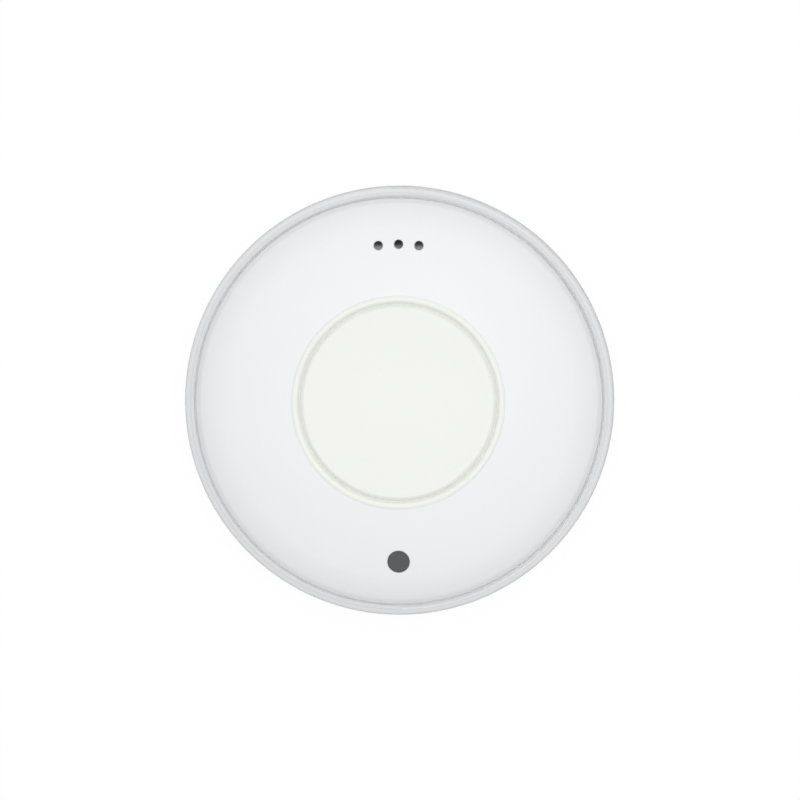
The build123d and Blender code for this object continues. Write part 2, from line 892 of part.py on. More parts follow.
pieces = {
    "top_cover": top_cover(),
    "rear_housing": rear_housing(),
    "housing_seal": housing_seal(),
    "button_bezel": button_bezel(),
    "button_cap": button_cap(),
    "button_web": button_web(),
    "status_window": status_window(),
    "vent_membrane": vent_membrane(),
    "sensor_gasket": sensor_gasket(),
    "battery_cover": battery_cover(),
    "battery_cover_o_ring": battery_cover_o_ring(),
    "coin_cell_can": coin_cell_can(),
    "coin_cell_cap": coin_cell_cap(),
    "coin_cell_gasket": coin_cell_gasket(),
    "coin_cell_pellet": coin_cell_pellet(),
    "battery_carrier": battery_carrier(),
    "positive_contact": positive_contact(),
    "negative_contact": negative_contact(),
    "main_board": main_board(),
    "board_screws": board_screws(),
    "switch_base": switch_base(),
    "switch_frame": switch_frame(),
    "switch_plunger": switch_plunger(),
    "switch_snap_dome": switch_snap_dome(),
    "switch_terminals": switch_terminals(),
    "radio_chip": radio_chip(),
    "chip_antenna": chip_antenna(),
    "main_crystal": main_crystal(),
    "clock_crystal": clock_crystal(),
    "humidity_sensor": humidity_sensor(),
    "motion_sensor": motion_sensor(),
    "status_led": status_led(),
    "reserve_capacitor": reserve_capacitor(),
    "chip_capacitors": chip_capacitors(),
    "chip_resistors": chip_resistors(),
    "chip_inductors": chip_inductors(),
    "test_pads": test_pads(),
}

os.makedirs("parts", exist_ok=True)
for name, shape in pieces.items():
    export_step(shape, f"parts/{name}.step")
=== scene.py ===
import json
from math import cos, pi, radians, sin, tan

import bmesh
import bpy
from mathutils import Matrix, Vector

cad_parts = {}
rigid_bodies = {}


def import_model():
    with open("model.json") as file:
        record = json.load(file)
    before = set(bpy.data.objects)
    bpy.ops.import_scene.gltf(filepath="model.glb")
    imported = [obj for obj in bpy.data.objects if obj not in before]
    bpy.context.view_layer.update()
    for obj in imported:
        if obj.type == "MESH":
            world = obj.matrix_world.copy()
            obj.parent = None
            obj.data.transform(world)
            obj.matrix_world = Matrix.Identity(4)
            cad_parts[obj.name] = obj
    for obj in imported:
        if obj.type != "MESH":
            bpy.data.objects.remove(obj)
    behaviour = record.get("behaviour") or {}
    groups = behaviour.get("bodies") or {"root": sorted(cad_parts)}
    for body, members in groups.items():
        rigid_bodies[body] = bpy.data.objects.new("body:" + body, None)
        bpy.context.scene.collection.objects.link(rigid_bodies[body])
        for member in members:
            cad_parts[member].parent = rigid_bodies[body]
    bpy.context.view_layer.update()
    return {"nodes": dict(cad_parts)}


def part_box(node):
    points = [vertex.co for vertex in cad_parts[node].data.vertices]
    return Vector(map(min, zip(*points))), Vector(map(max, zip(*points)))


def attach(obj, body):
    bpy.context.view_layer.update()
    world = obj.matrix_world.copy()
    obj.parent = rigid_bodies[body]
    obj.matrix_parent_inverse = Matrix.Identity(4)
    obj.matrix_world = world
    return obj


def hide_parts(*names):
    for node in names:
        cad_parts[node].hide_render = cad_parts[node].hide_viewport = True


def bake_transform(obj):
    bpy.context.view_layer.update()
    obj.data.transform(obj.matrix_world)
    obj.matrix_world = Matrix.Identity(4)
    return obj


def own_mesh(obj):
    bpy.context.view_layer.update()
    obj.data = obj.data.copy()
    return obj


for stray in list(bpy.data.objects):
    bpy.data.objects.remove(stray)
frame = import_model()
mm = 0.001


# Rear housing. The real piece is the white cup that everything is built into,
# injection moulded in ABS with a fine eroded grain; its rim shows round the cover,
# and the battery cover is let into its back.
def is_socket(value):
    return isinstance(value, bpy.types.NodeSocket)


def put(tree, kind, values=None, **settings):
    """Adds a node to a tree. A value that is a socket is linked, any other is set."""
    node = tree.nodes.new(kind)
    for name, setting in settings.items():
        setattr(node, name, setting)
    for name, value in (values or {}).items():
        if is_socket(value):
            tree.links.new(value, node.inputs[name])
        else:
            node.inputs[name].default_value = value
    return node


def calculate(tree, operation, *values, clamp=False):
    """The result of a Math node on numbers or sockets."""
    numbered = dict(enumerate(values))
    node = put(tree, "ShaderNodeMath", numbered, operation=operation, use_clamp=clamp)
    return node.outputs[0]


def scaled(tree, vector, scale):
    """A place or a colour times a number."""
    values = {0: vector, "Scale": scale}
    return put(tree, "ShaderNodeVectorMath", values, operation="SCALE").outputs[0]


def ramp(tree, value, start, end, low=0.0, high=1.0):
    """Runs smoothly from low to high as a value goes from start to end."""
    values = {"Value": value, "From Min": start, "From Max": end, "To Min": low, "To Max": high}
    return put(tree, "ShaderNodeMapRange", values, interpolation_type="SMOOTHSTEP").outputs[0]


def total(tree, *parts):
    """The sum of several values, each times its weight."""
    result = sum(value * weight for value, weight in parts if not is_socket(value))
    for value, weight in parts:
        if is_socket(value):
            result = calculate(tree, "MULTIPLY_ADD", value, weight, result)
    return result


def start_group(name, inputs, outputs):
    """A new shader group with named numbers going in and out, and its two ends."""
    tree = bpy.data.node_groups.new(name, "ShaderNodeTree")
    for label, value in inputs.items():
        socket = tree.interface.new_socket(label, in_out="INPUT", socket_type="NodeSocketFloat")
        socket.default_value = value
    for label in outputs:
        tree.interface.new_socket(label, in_out="OUTPUT", socket_type="NodeSocketFloat")
    start = tree.nodes.new("NodeGroupInput")
    end = tree.nodes.new("NodeGroupOutput")
    return tree, start.outputs, end.inputs


def use(tree, group, **values):
    """The outputs of a group that is placed in a material's tree with its own values."""
    node = put(tree, "ShaderNodeGroup", node_tree=group)
    for label, value in values.items():
        node.inputs[label.replace("_", " ")].default_value = value
    return node.outputs


def place_in_mm(tree):
    """The place on the part in its own frame, in millimetres."""
    return scaled(tree, put(tree, "ShaderNodeTexCoord").outputs["Object"], 1 / mm)


def round_place(tree, place):
    """The radius, the angle and the height of a place."""
    x, y, height = put(tree, "ShaderNodeSeparateXYZ", {0: place}).outputs
    flat = put(tree, "ShaderNodeCombineXYZ", {0: x, 1: y}).outputs[0]
    radius = put(tree, "ShaderNodeVectorMath", {0: flat}, operation="LENGTH").outputs["Value"]
    return radius, calculate(tree, "ARCTAN2", y, x), height


def noise(tree, place, per_mm, detail=2.0, roughness=0.5, stretch=None, turn=0.0):
    """Noise about zero with so many features a millimetre, drawn out along an axis if wanted."""
    if stretch:
        turned = {"Vector": place, "Rotation": (0.0, 0.0, turn), "Scale": stretch}
        place = put(tree, "ShaderNodeMapping", turned).outputs[0]
    values = {"Vector": place, "Scale": per_mm, "Detail": detail, "Roughness": roughness}
    return calculate(tree, "SUBTRACT", put(tree, "ShaderNodeTexNoise", values).outputs[0], 0.5)


def start_material(name, **plain):
    """A material with its shader, and plain settings made on the shader's own sockets."""
    material = bpy.data.materials.new(name)
    material.use_nodes = True
    shader = material.node_tree.nodes["Principled BSDF"]
    for label, value in plain.items():
        shader.inputs[label.replace("_", " ")].default_value = value
    return material, material.node_tree, shader


def mix_colours(tree, mask, colour, other):
    """One colour where a mask is 0 and another where it is 1."""
    near, far = [value if is_socket(value) else (*value, 1.0) for value in (colour, other)]
    node = put(tree, "ShaderNodeMix", {0: mask, 6: near, 7: far}, data_type="RGBA")
    return node.outputs[2]


def colour_and_gloss(tree, shader, colour, tone, roughness):
    """Leads a colour, made darker or lighter by a tone about zero, and a roughness to a shader."""
    toned = scaled(tree, colour, calculate(tree, "ADD", tone, 1.0))
    tree.links.new(toned, shader.inputs["Base Color"])
    tree.links.new(roughness, shader.inputs["Roughness"])


def bump(tree, shader, height, step_mm):
    """Leads a height, in steps of a distance, to a shader's normal."""
    values = {"Height": height, "Distance": step_mm * mm, "Strength": 1.0}
    normal = put(tree, "ShaderNodeBump", values).outputs["Normal"]
    tree.links.new(normal, shader.inputs["Normal"])


def finish_nodes(material, *names):
    """Gives pieces of the frame their finish."""
    for name in names:
        piece = frame["nodes"][name]
        if not piece.material_slots:
            piece.data.materials.append(material)
        for slot in piece.material_slots:
            slot.material = material


# The skin of a moulding: grain eroded into the tool, the slow tone of the melt's
# flow, the rubs of handling and a few hairline scratches.
moulded_skin, skin_in, skin_out = start_group(
    "moulded_skin", {"Grain per mm": 9.0}, ("Grain", "Flow", "Rub", "Scratch")
)
skin_rubs_per_mm = 0.5
skin_flow_per_mm = 0.12
skin_hairline_edges = (0.24, 0.29)
skin_rubbed_edges = (0.02, 0.16)
skin_place = place_in_mm(moulded_skin)
skin_rub = noise(
    moulded_skin,
    skin_place,
    skin_rubs_per_mm,
    detail=4.0,
    roughness=0.6,
    stretch=(1.0, 1.6, 1.0),
    turn=0.5,
)
skin_lines = noise(
    moulded_skin, skin_place, 1.0, detail=1.0, stretch=(0.22, 7.0, 0.22), turn=0.7
)
skin_cross = noise(
    moulded_skin, skin_place, 1.0, detail=1.0, stretch=(6.0, 0.2, 0.2), turn=1.0
)
skin_crossed = calculate(moulded_skin, "MAXIMUM", skin_lines, skin_cross)
skin_hair = ramp(moulded_skin, skin_crossed, *skin_hairline_edges)
skin_worn = ramp(moulded_skin, skin_rub, *skin_rubbed_edges)
skin_values = {
    "Grain": noise(moulded_skin, skin_place, skin_in["Grain per mm"], detail=3.0, roughness=0.6),
    "Flow": noise(moulded_skin, skin_place, skin_flow_per_mm),
    "Rub": skin_rub,
    "Scratch": calculate(moulded_skin, "MULTIPLY", skin_hair, skin_worn),
}
for label, value in skin_values.items():
    moulded_skin.links.new(value, skin_out[label])

# A band round the centre line, at a radius or at a height, that fades out to both
# sides: for worn edges, dust and painted shade along a joint, and the line where the tool's halves
# meet.
round_band, band_in, band_out = start_group(
    "round_band", {"At": 10.0, "Half width": 1.0}, ("At radius", "At height")
)
band_radius, _, band_height = round_place(round_band, place_in_mm(round_band))
for label, where in (("At radius", band_radius), ("At height", band_height)):
    away = calculate(round_band, "SUBTRACT", where, band_in["At"])
    offset = calculate(round_band, "ABSOLUTE", away)
    share = calculate(round_band, "DIVIDE", offset, band_in["Half width"])
    round_band.links.new(ramp(round_band, share, 0.0, 1.0, 1.0, 0.0), band_out[label])


def band_total(tree, bands):
    """The highest of several bands, each given as its way, place, half width and strength."""
    result = 0.0
    for way, at, half_width, strength in bands:
        band = use(tree, round_band, At=at, Half_width=half_width)[way]
        band = calculate(tree, "MULTIPLY", band, strength)
        result = calculate(tree, "MAXIMUM", band, result) if is_socket(result) else band
    return result


def moulding(
    name, colour, roughness, grain_per_mm=9.0, grain_mm=0.003, tone=0.03, wear=(), dust_and_shade=(), seams=()
):
    """A moulded plastic or rubber with grain, flow, rubs, worn edges, dust and painted shade, and
    parting lines.
    """
    material, tree, shader = start_material(name)
    skin = use(tree, moulded_skin, Grain_per_mm=grain_per_mm)
    worn = band_total(tree, wear)
    if is_socket(worn):
        patches = total(tree, (skin["Rub"], 1.4), (1.0, 0.75))
        worn = calculate(tree, "MULTIPLY", worn, patches, clamp=True)
    # Darkens the colour and roughens it: painted shade beside seams and in the button's groove, and
    # dust in the battery cover's gap.
    dust_and_shade_mask = band_total(tree, dust_and_shade)
    marks = ((skin["Flow"], tone), (skin["Grain"], tone * 0.4), (skin["Scratch"], -0.05))
    toned = total(tree, *marks, (worn, 0.02), (dust_and_shade_mask, -1.0))
    gloss = ((skin["Rub"], 0.1), (skin["Grain"], 0.1), (skin["Scratch"], 0.12))
    rough = total(tree, (1.0, roughness), *gloss, (worn, -0.16), (dust_and_shade_mask, 0.2))
    colour_and_gloss(tree, shader, colour, toned, rough)
    raised = band_total(tree, seams)
    relief = ((skin["Grain"], 1.0), (skin["Scratch"], -0.5), (raised, 1.6), (worn, -0.3))
    bump(tree, shader, total(tree, *relief), grain_mm)
    return material


housing_colour = (0.832, 0.843, 0.855)
housing_roughness = 0.62
housing_wear = [
    ("At radius", 15.93, 0.1, 1.0),  # the rim's inner edge
    ("At radius", 16.4, 0.12, 0.8),  # the rim's outer edge
    ("At height", 0.0, 0.25, 1.0),  # the foot
]
# Painted shade: the housing is darkened beside the seam, where the gap's shade falls.
housing_painted_shade = [("At radius", 15.87, 0.3, 0.235)]  # beside the seam
housing_seams = [("At height", 5.4, 0.06, 4.0)]  # where the tool's halves meet
housing_white = moulding(
    "housing_white",
    housing_colour,
    housing_roughness,
    wear=housing_wear,
    dust_and_shade=housing_painted_shade,
    seams=housing_seams,
)
finish_nodes(housing_white, "rear_housing")


# Housing seal. A flat ring of pale grey silicone, pinched between the cover's foot
# and the housing's ledge. The thin lip that stands in the seam is guessed from the
# seam's soft, pale look in the photograph.
def box_in_mm(name):
    """The lowest and highest corners of a piece of the frame at rest, in millimetres."""
    return [[value / mm for value in corner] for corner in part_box(name)]


def soften(mesh, sharp_angle=38.0):
    """Shades a mesh smooth, apart from its edges that turn by more than an angle."""
    mesh.shade_smooth()
    mesh.set_sharp_from_angle(angle=radians(sharp_angle))


def mesh_piece(name, mesh):
    """An object for a mesh, with its faces turned outwards and its soft edges smooth."""
    form = bmesh.new()
    form.from_mesh(mesh)
    bmesh.ops.recalc_face_normals(form, faces=form.faces)
    form.to_mesh(mesh)
    form.free()
    soften(mesh)
    piece = bpy.data.objects.new(name, mesh)
    bpy.context.scene.collection.objects.link(piece)
    return piece


def spin(name, outline, turns=240):
    """A piece turned about the centre line from a closed outline of radius and height in mm."""
    points = []
    rings = []
    for radius, height in outline:
        first = len(points)
        steps = turns if radius else 1
        rings.append([first + step % steps for step in range(turns)])
        for step in range(steps):
            angle = 2 * pi * step / turns
            points.append((radius * mm * cos(angle), radius * mm * sin(angle), height * mm))
    pairs = list(zip(rings, rings[1:]))
    if outline[0][0]:
        pairs.append((rings[-1], rings[0]))
    faces = []
    for near, far in pairs:
        for step in range(turns):
            corners = dict.fromkeys((near[step], near[step - 1], far[step - 1], far[step]))
            faces.append(list(corners))
    mesh = bpy.data.meshes.new(name)
    mesh.from_pydata(points, [], faces)
    return mesh_piece(name, mesh)


def dress(piece, material, body, node):
    """Gives a new piece its finish, attaches it to what it rides on, and hides the piece of the
    frame that it stands for.
    """
    piece.data.materials.append(material)
    if body:
        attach(piece, body)
    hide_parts(node)


def round_outline(inner, outer, low, high, corner, steps=5):
    """The outline of a ring with round edges."""
    outline = []
    sides = (
        (outer - corner, high - corner),
        (inner + corner, high - corner),
        (inner + corner, low + corner),
        (outer - corner, low + corner),
    )
    for quarter, (radius, height) in enumerate(sides):
        for step in range(steps + 1):
            angle = pi / 2 * (quarter + step / steps)
            outline.append((radius + corner * cos(angle), height + corner * sin(angle)))
    return outline


seal_low, seal_high = box_in_mm("housing_seal")
seal_inner_radius = 15.033
seal_outer_radius = seal_high[0]
seal_edge_round = 0.12
seal_lip_gap = 0.005
seal_lip_width = 0.07
seal_lip_ease = 0.02
seal_lip_top = 7.32
seal_lip_foot = seal_high[2] - 0.2
seal_lip_inner = seal_outer_radius + seal_lip_gap
seal_lip_outer = seal_lip_inner + seal_lip_width
seal_outline = round_outline(
    seal_inner_radius, seal_outer_radius, seal_low[2], seal_high[2], seal_edge_round
)
seal_outline += [
    (seal_outer_radius, seal_lip_foot),
    (seal_lip_outer, seal_lip_foot),
    (seal_lip_outer, seal_lip_top - seal_lip_ease),
    ((seal_lip_inner + seal_lip_outer) / 2, seal_lip_top),
    (seal_lip_inner, seal_lip_top - seal_lip_ease),
    (seal_lip_inner, seal_high[2]),
]
seal_silicone = moulding(
    "seal_silicone", (0.61, 0.62, 0.63), 0.55, grain_per_mm=5.0, grain_mm=0.002
)
dress(spin("seal_ring", seal_outline), seal_silicone, "base", "housing_seal")

# Coin cell. A standard lithium cell: a drawn can of nickel-plated steel rolled in
# over a black sealing grommet, with a cap inside it and a pressed filling.
turned_lines, turned_in, turned_out = start_group(
    "turned_lines", {"Lines per mm": 14.0}, ("Line", "Stain")
)
turned_per_radian = 1.6
turned_place = place_in_mm(turned_lines)
turned_radius, turned_angle, turned_height = round_place(turned_lines, turned_place)
turned_path = {
    0: calculate(turned_lines, "MULTIPLY", turned_radius, turned_in["Lines per mm"]),
    1: calculate(turned_lines, "MULTIPLY", turned_angle, turned_per_radian),
    2: calculate(turned_lines, "MULTIPLY", turned_height, turned_in["Lines per mm"]),
}
turned_path = put(turned_lines, "ShaderNodeCombineXYZ", turned_path).outputs[0]
turned_line = noise(turned_lines, turned_path, 1.0)
turned_lines.links.new(turned_line, turned_out["Line"])
turned_stain = noise(turned_lines, turned_place, 0.35, detail=3.0, roughness=0.6)
turned_lines.links.new(turned_stain, turned_out["Stain"])

rolled_lines, rolled_in, rolled_out = start_group(
    "rolled_lines", {"Lines per mm": 16.0}, ("Line", "Stain")
)
rolled_stretch = (0.04, 1.0, 1.0)
rolled_place = place_in_mm(rolled_lines)
rolled_line = noise(
    rolled_lines, rolled_place, rolled_in["Lines per mm"], stretch=rolled_stretch
)
rolled_lines.links.new(rolled_line, rolled_out["Line"])
rolled_stain = noise(rolled_lines, rolled_place, 0.8, detail=3.0, roughness=0.6)
rolled_lines.links.new(rolled_stain, rolled_out["Stain"])


def metal(name, colour, roughness, lines, lines_per_mm=14.0, wear=()):
    """Plated metal with its tool lines, light stains, scratches and rubbed edges."""
    material, tree, shader = start_material(name, Metallic=1.0)
    tooled = use(tree, lines, Lines_per_mm=lines_per_mm)
    scratch = use(tree, moulded_skin)["Scratch"]
    worn = band_total(tree, wear)
    marks = ((tooled["Stain"], 0.18), (tooled["Line"], 0.11))
    toned = total(tree, *marks, (worn, 0.08), (scratch, 0.1))
    gloss = ((tooled["Stain"], 0.15), (tooled["Line"], 0.11))
    rough = total(tree, (1.0, roughness), *gloss, (worn, -0.08))
    colour_and_gloss(tree, shader, colour, toned, rough)
    bump(tree, shader, total(tree, (tooled["Line"], 1.0), (scratch, -0.8)), step_mm=0.002)
    return material


cell_wear = [
    ("At radius", 9.9, 0.15, 1.0),  # the can's shoulder
    ("At radius", 9.25, 0.1, 0.7),  # its rolled lip
]
cell_steel = metal("cell_steel", (0.66, 0.655, 0.63), 0.3, turned_lines, wear=cell_wear)
finish_nodes(cell_steel, "coin_cell_can", "coin_cell_cap")
cell_grommet = moulding("cell_grommet", (0.06, 0.06, 0.062), 0.5, grain_per_mm=7.0)
finish_nodes(cell_grommet, "coin_cell_gasket")
cell_filling = moulding(
    "cell_filling", (0.045, 0.045, 0.047), 0.85, grain_per_mm=12.0, grain_mm=0.02, tone=0.25
)
finish_nodes(cell_filling, "coin_cell_pellet")

# Battery carrier. A black glass-filled moulding under the board that centres the
# cell; the screws go through its flange into the housing's bosses.
carrier_black = moulding(
    "carrier_black", (0.03, 0.03, 0.032), 0.5, grain_per_mm=6.0, grain_mm=0.006, tone=0.2
)
finish_nodes(carrier_black, "battery_carrier")

# Contacts. Two springs cut from rolled stainless strip, bent, and soldered to the
# underside of the board.
contact_steel = metal("contact_steel", (0.7, 0.69, 0.65), 0.3, rolled_lines)
finish_nodes(contact_steel, "positive_contact", "negative_contact")

# Main board. Round glass-epoxy laminate with green solder mask over copper traces,
# small gold-rimmed vias, and a bare sawn edge.
board_green, board, board_shader = start_material(
    "board_green", Coat_Weight=0.3, Coat_Roughness=0.2
)
board_gap_edges = (0.1, 0.14)
board_via_edges = (0.14, 0.16)
board_hole_edges = (0.06, 0.08)
board_sawn_edge = ("At radius", 14.34, 0.06, 1.0)
board_relief_mm = 0.03
board_place = place_in_mm(board)
board_skin = use(board, moulded_skin, Grain_per_mm=12.0)
board_cells = {"Vector": board_place, "Scale": 0.75, "Randomness": 0.85}
board_near, board_next = [
    put(board, "ShaderNodeTexVoronoi", board_cells, distance="CHEBYCHEV", feature=feature)
    for feature in ("F1", "F2")
]
board_gap = calculate(
    board, "SUBTRACT", board_next.outputs["Distance"], board_near.outputs["Distance"]
)
board_trace = ramp(board, board_gap, *board_gap_edges, 1.0, 0.0)
board_dots = {"Vector": board_place, "Scale": 0.55, "Randomness": 1.0}
board_dot = put(board, "ShaderNodeTexVoronoi", board_dots).outputs["Distance"]
board_via = ramp(board, board_dot, *board_via_edges, 1.0, 0.0)
board_hole = ramp(board, board_dot, *board_hole_edges, 1.0, 0.0)
board_saw = band_total(board, [board_sawn_edge])
board_mask_green = (0.008, 0.09, 0.035)
board_paint = mix_colours(board, board_trace, board_mask_green, (0.02, 0.2, 0.075))
for board_part, board_colour in (
    (board_via, (0.6, 0.42, 0.12)),
    (board_hole, (0.01, 0.012, 0.01)),
    (board_saw, (0.42, 0.4, 0.2)),
):
    board_paint = mix_colours(board, board_part, board_paint, board_colour)
board_tone = total(board, (board_skin["Flow"], 0.3), (board_skin["Grain"], 0.2))
board_rough = total(board, (1.0, 0.34), (board_skin["Rub"], 0.2), (board_saw, 0.4))
colour_and_gloss(board, board_shader, board_paint, board_tone, board_rough)
board_relief = total(board, (board_trace, 1.0), (board_hole, -2.0), (board_skin["Grain"], 0.15))
bump(board, board_shader, board_relief, board_relief_mm)
finish_nodes(board_green, "main_board")

# Chips. Packages of black moulding compound, soldered to the board, with a matt
# skin and the dimple that marks the first pin.
chip_black = moulding(
    "chip_black", (0.03, 0.03, 0.033), 0.48, grain_per_mm=14.0, grain_mm=0.004, tone=0.3
)
finish_nodes(chip_black, "radio_chip", "motion_sensor", "humidity_sensor")

# Passive parts. Small fired or moulded blocks with tinned ends, in rows along the
# board's edge, each soldered at both ends.
row_offset, row_in, row_out = start_group(
    "row_offset", {"First angle": 0.0, "Pitch angle": 360.0}, ("Along",)
)
row_radius, row_angle, _ = round_place(row_offset, place_in_mm(row_offset))
row_degrees = calculate(row_offset, "DEGREES", row_angle)
row_turn = calculate(row_offset, "SUBTRACT", row_degrees, row_in["First angle"])
row_steps = calculate(row_offset, "DIVIDE", row_turn, row_in["Pitch angle"])
row_nearest = calculate(row_offset, "ROUND", row_steps)
row_part = calculate(row_offset, "SUBTRACT", row_steps, row_nearest)
row_past = calculate(row_offset, "MULTIPLY", row_part, row_in["Pitch angle"])
row_off = calculate(row_offset, "RADIANS", row_past)
row_offset.links.new(calculate(row_offset, "MULTIPLY", row_off, row_radius), row_out["Along"])
tin = (0.62, 0.61, 0.6)
ends_blur = 0.015


def tinned_block(name, colour, first_angle, pitch_angle, length, end_length, roughness=0.5):
    """A small block whose two ends along the board's edge are tinned."""
    material, tree, shader = start_material(name)
    skin = use(tree, moulded_skin, Grain_per_mm=12.0)
    row = use(tree, row_offset, First_angle=first_angle, Pitch_angle=pitch_angle)
    reach = calculate(tree, "ABSOLUTE", row["Along"])
    past = total(tree, (reach, 1.0), (skin["Rub"], 0.06), (1.0, end_length - length / 2))
    ends = ramp(tree, past, -ends_blur, ends_blur)
    painted = mix_colours(tree, ends, colour, tin)
    toned = total(tree, (skin["Grain"], 0.25), (skin["Rub"], 0.12))
    rough = total(tree, (1.0, roughness), (ends, -0.14), (skin["Grain"], 0.15))
    colour_and_gloss(tree, shader, painted, toned, rough)
    tree.links.new(ends, shader.inputs["Metallic"])
    bump(tree, shader, total(tree, (skin["Grain"], 1.0), (ends, 3.0)), step_mm=0.004)
    return material


whole_turn = 360.0
row_pitch = 8.0
capacitor_tan = tinned_block(
    "capacitor_tan", (0.45, 0.32, 0.2), 62.0, row_pitch, length=1.0, end_length=0.25
)
finish_nodes(capacitor_tan, "chip_capacitors")
resistor_black = tinned_block(
    "resistor_black", (0.03, 0.03, 0.035), 214.0, row_pitch, length=1.0, end_length=0.2
)
finish_nodes(resistor_black, "chip_resistors")
inductor_grey = tinned_block(
    "inductor_grey", (0.2, 0.21, 0.23), -27.0, 11.0, length=1.6, end_length=0.3
)
finish_nodes(inductor_grey, "chip_inductors")
tantalum_yellow = tinned_block(
    "tantalum_yellow",
    (0.62, 0.38, 0.06),
    318.0,
    whole_turn,
    length=3.5,
    end_length=0.08,
    roughness=0.42,
)
finish_nodes(tantalum_yellow, "reserve_capacitor")
antenna_ceramic = tinned_block(
    "antenna_ceramic", (0.66, 0.7, 0.75), 180.0, whole_turn, length=3.2, end_length=0.35
)
finish_nodes(antenna_ceramic, "chip_antenna")

# Crystals. Two quartz resonators, a larger one for the radio and a slim one for the
# clock, each in a soldered can under a seam-welded lid of plated nickel alloy.
crystal_can = metal("crystal_can", (0.72, 0.69, 0.62), 0.3, rolled_lines, lines_per_mm=10.0)
finish_nodes(crystal_can, "main_crystal", "clock_crystal")

# Test pads. Five round pads of gold-flashed copper near the board's edge, where
# the tester's spring pins touch down, which leaves light prick marks.
pad_gold = metal("pad_gold", (0.83, 0.62, 0.24), 0.34, rolled_lines, lines_per_mm=8.0)
finish_nodes(pad_gold, "test_pads")

# Status light. A chip lamp under the window: clear resin over a pale cup, with
# gilt ends along the board.
led_resin, led, led_shader = start_material("led_resin", Coat_Weight=0.6, Coat_Roughness=0.08)
led_lens_edges = (0.38, 0.44)
led_body_edges = (0.56, 0.6)
led_skin = use(led, moulded_skin, Grain_per_mm=8.0)
led_across = put(led, "ShaderNodeSeparateXYZ", {0: place_in_mm(led)}).outputs[0]
led_across = calculate(led, "ABSOLUTE", led_across)
led_past_lens = ramp(led, led_across, *led_lens_edges)
led_paint = mix_colours(led, led_past_lens, (0.85, 0.68, 0.2), (0.86, 0.86, 0.82))
led_past_body = ramp(led, led_across, *led_body_edges)
led_paint = mix_colours(led, led_past_body, led_paint, (0.7, 0.52, 0.2))
led_rough = total(led, (1.0, 0.3), (led_skin["Rub"], 0.15))
colour_and_gloss(led, led_shader, led_paint, total(led, (led_skin["Flow"], 0.2)), led_rough)
bump(led, led_shader, led_skin["Grain"], step_mm=0.002)
finish_nodes(led_resin, "status_led")

# Push switch. A soldered tactile switch under the button: black base and plunger,
# a clipped steel frame, tinned leads, and a spring dome that clicks flat.
switch_black = moulding(
    "switch_black", (0.025, 0.025, 0.027), 0.5, grain_per_mm=10.0, grain_mm=0.004, tone=0.2
)
finish_nodes(switch_black, "switch_base", "switch_plunger")
switch_steel = metal("switch_steel", (0.68, 0.68, 0.67), 0.32, rolled_lines)
finish_nodes(switch_steel, "switch_frame", "switch_terminals")
dome_low, dome_high = box_in_mm("switch_snap_dome")
dome_reach = dome_high[0]
dome_sheet = 0.08
dome_steps = 24
dome_turns = 96
dome_rise = dome_high[2] - dome_low[2]
dome_sphere = (dome_reach ** 2 + dome_rise ** 2) / (2 * dome_rise)
dome_centre = dome_high[2] - dome_sphere
dome_top = []
for step in range(dome_steps + 1):
    radius = dome_reach * step / dome_steps
    dome_top.append((radius, dome_centre + (dome_sphere ** 2 - radius ** 2) ** 0.5))
dome_under = [(radius, max(height - dome_sheet, dome_low[2])) for radius, height in dome_top[:-1]]
snap_dome = spin("snap_dome", dome_top + dome_under[::-1], dome_turns)
dome_steel = metal("dome_steel", (0.7, 0.7, 0.68), 0.28, turned_lines, lines_per_mm=10.0)
dress(snap_dome, dome_steel, "base", "switch_snap_dome")
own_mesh(snap_dome)

# Board screws. Three small cross-head screws of plated steel, driven through the
# board and the carrier into the housing's bosses.
screw_steel = metal("screw_steel", (0.5, 0.5, 0.52), 0.26, rolled_lines, lines_per_mm=12.0)
finish_nodes(screw_steel, "board_screws")

# Top cover. The white domed shell, moulded in ABS with a finer skin than the
# housing's, and held by three spring tabs; painted shade darkens it towards its edge.
cover_colour = (0.868, 0.885, 0.901)
# Painted shade: darker from the vents outwards, beside the seam and round the button's bead.
cover_painted_shade = [
    ("At radius", 15.6, 3.6, 0.03),  # from the vents outwards, lightly
    ("At radius", 15.45, 0.42, 0.13),  # beside the seam
    ("At radius", 8.19, 0.25, 0.02),  # round the button's bead
]
cover_wear = [
    ("At radius", 15.5, 0.1, 1.0),  # the outer edge
    ("At radius", 8.25, 0.08, 0.8),  # the edge of the button's hole
]
cover_white = moulding(
    "cover_white",
    cover_colour,
    0.6,
    grain_per_mm=11.0,
    grain_mm=0.0025,
    tone=0.02,
    wear=cover_wear,
    dust_and_shade=cover_painted_shade,
)
finish_nodes(cover_white, "top_cover")

# Status window. A plug of smoked acrylic that leads the light out, pressed in from
# behind and polished flush with the dome.
window_smoke = moulding(
    "window_smoke", (0.075, 0.077, 0.08), 0.24, grain_per_mm=3.0, grain_mm=0.0005, tone=0.08
)
finish_nodes(window_smoke, "status_window")

# Vents. Three small holes over a breathable sheet, which a foam frame seals to the
# board round the humidity sensor. The sheet is coloured dark away from the button and
# pale towards it, as the holes look: painted shade and painted light.
same_place = mm / 10000


